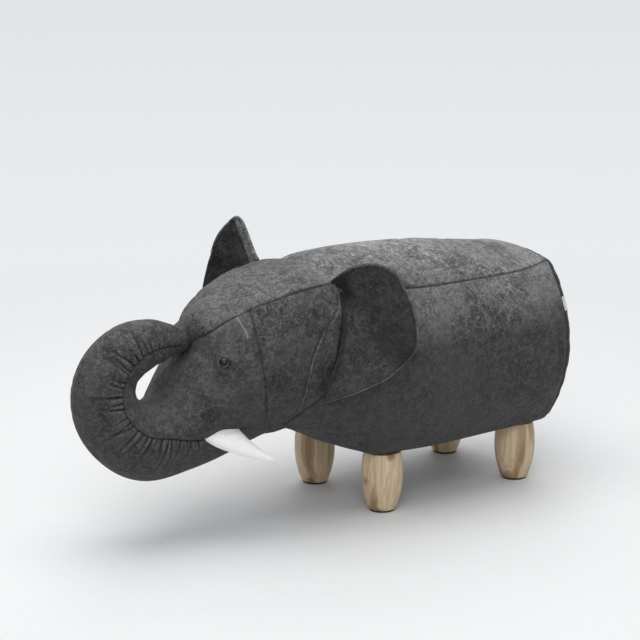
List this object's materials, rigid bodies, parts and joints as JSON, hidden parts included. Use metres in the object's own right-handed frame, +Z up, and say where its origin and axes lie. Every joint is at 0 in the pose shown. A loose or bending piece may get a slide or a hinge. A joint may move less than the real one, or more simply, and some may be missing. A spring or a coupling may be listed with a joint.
{
  "type": "animal footstool",
  "caption": "Elephant-shaped upholstered footstool: padded wooden box under a sewn imitation-leather cover, with curled trunk, tusks, flap ears and screw-in barrel legs.",
  "frame": {"origin": "on the floor, at the middle of the footprint of the whole object", "axes": "+Z up; the animal looks along -Y; +X is towards the animal's left side"},
  "size_m": [0.3445, 0.7321, 0.3858],
  "materials": {
    "cover": "matt, distressed imitation leather",
    "foam": "open-cell foam",
    "stuffing": "loose polyester fibre",
    "tusk": "smooth off-white cloth over stuffing",
    "eye": "glossy, amber rim round a black pupil",
    "washer_plastic": "natural moulded",
    "label": "blank woven tape",
    "plywood": "bare plywood",
    "batten": "bare sawn softwood",
    "leg_wood": "clear matt lacquer over turned wood with brown grain",
    "steel": "zinc plated",
    "dust_cloth": "thin non-woven cloth",
    "foot_pad": "matt"
  },
  "bodies": {
    "stool": {"cover_top": "cover", "trunk_inner_strip": "cover", "cover_chin": "cover", "cover_rear": "cover", "cover_side_left": "cover", "cover_side_right": "cover", "cover_neck_left": "cover", "cover_neck_right": "cover", "cover_cheek_left": "cover", "cover_cheek_right": "cover", "cover_face_left": "cover", "cover_face_right": "cover", "hem_strip": "cover", "seat_foam": "foam", "side_foam_left": "foam", "side_foam_right": "foam", "rear_foam": "foam", "chest_foam": "foam", "head_filling": "stuffing", "trunk_filling": "stuffing", "tusk_left": "tusk", "tusk_right": "tusk", "eye_left": "eye", "eye_right": "eye", "eye_washers": "washer_plastic", "side_label": "label", "seat_board": "plywood", "frame_side_left": "plywood", "frame_side_right": "plywood", "frame_front": "plywood", "frame_rear": "plywood", "base_panel": "plywood", "corner_posts": "batten", "frame_screws": "steel", "cover_staples": "steel", "leg_nuts": "steel", "dust_cover": "dust_cloth"},
    "washer_front_left": {"leg_washer_front_left": "steel"},
    "screw_leg_front_left": {"leg_front_left": "leg_wood", "leg_pad_front_left": "foot_pad", "hanger_bolt_front_left": "steel"},
    "washer_front_right": {"leg_washer_front_right": "steel"},
    "screw_leg_front_right": {"leg_front_right": "leg_wood", "leg_pad_front_right": "foot_pad", "hanger_bolt_front_right": "steel"},
    "washer_rear_left": {"leg_washer_rear_left": "steel"},
    "screw_leg_rear_left": {"leg_rear_left": "leg_wood", "leg_pad_rear_left": "foot_pad", "hanger_bolt_rear_left": "steel"},
    "washer_rear_right": {"leg_washer_rear_right": "steel"},
    "screw_leg_rear_right": {"leg_rear_right": "leg_wood", "leg_pad_rear_right": "foot_pad", "hanger_bolt_rear_right": "steel"},
    "ear_left": {"ear_front_left": "cover", "ear_back_left": "cover"},
    "ear_right": {"ear_front_right": "cover", "ear_back_right": "cover"}
  },
  "joints": [
    {"name": "leg_front_left_travel", "type": "slide", "parent": "stool", "child": "washer_front_left", "axis": [0, 0, -1], "range_m": [0, 0.0125]},
    {"name": "leg_front_left_screw", "type": "hinge", "parent": "washer_front_left", "child": "screw_leg_front_left", "pos_m": [0.077, 0.0688, 0.084], "axis": [0, 0, -1], "range_deg": [0, 3600]},
    {"name": "leg_front_right_travel", "type": "slide", "parent": "stool", "child": "washer_front_right", "axis": [0, 0, -1], "range_m": [0, 0.0125]},
    {"name": "leg_front_right_screw", "type": "hinge", "parent": "washer_front_right", "child": "screw_leg_front_right", "pos_m": [-0.077, 0.0688, 0.084], "axis": [0, 0, -1], "range_deg": [0, 3600]},
    {"name": "leg_rear_left_travel", "type": "slide", "parent": "stool", "child": "washer_rear_left", "axis": [0, 0, -1], "range_m": [0, 0.0125]},
    {"name": "leg_rear_left_screw", "type": "hinge", "parent": "washer_rear_left", "child": "screw_leg_rear_left", "pos_m": [0.077, 0.3088, 0.084], "axis": [0, 0, -1], "range_deg": [0, 3600]},
    {"name": "leg_rear_right_travel", "type": "slide", "parent": "stool", "child": "washer_rear_right", "axis": [0, 0, -1], "range_m": [0, 0.0125]},
    {"name": "leg_rear_right_screw", "type": "hinge", "parent": "washer_rear_right", "child": "screw_leg_rear_right", "pos_m": [-0.077, 0.3088, 0.084], "axis": [0, 0, -1], "range_deg": [0, 3600]},
    {"name": "ear_left_flap", "type": "hinge", "parent": "stool", "child": "ear_left", "pos_m": [0.1073, -0.0322, 0.258], "axis": [-0.0768, 0.2011, 0.9766], "range_deg": [-45, 0], "stiffness_Nm_per_rad": 0.2},
    {"name": "ear_right_flap", "type": "hinge", "parent": "stool", "child": "ear_right", "pos_m": [-0.107, -0.028, 0.258], "axis": [-0.0768, -0.2011, -0.9766], "range_deg": [0, 40], "stiffness_Nm_per_rad": 0.2}
  ],
  "couplings": [
    {"joint": "leg_front_left_travel", "follows": "leg_front_left_screw", "m_per_rad": 0.00019894},
    {"joint": "leg_front_right_travel", "follows": "leg_front_right_screw", "m_per_rad": 0.00019894},
    {"joint": "leg_rear_left_travel", "follows": "leg_rear_left_screw", "m_per_rad": 0.00019894},
    {"joint": "leg_rear_right_travel", "follows": "leg_rear_right_screw", "m_per_rad": 0.00019894}
  ]
}
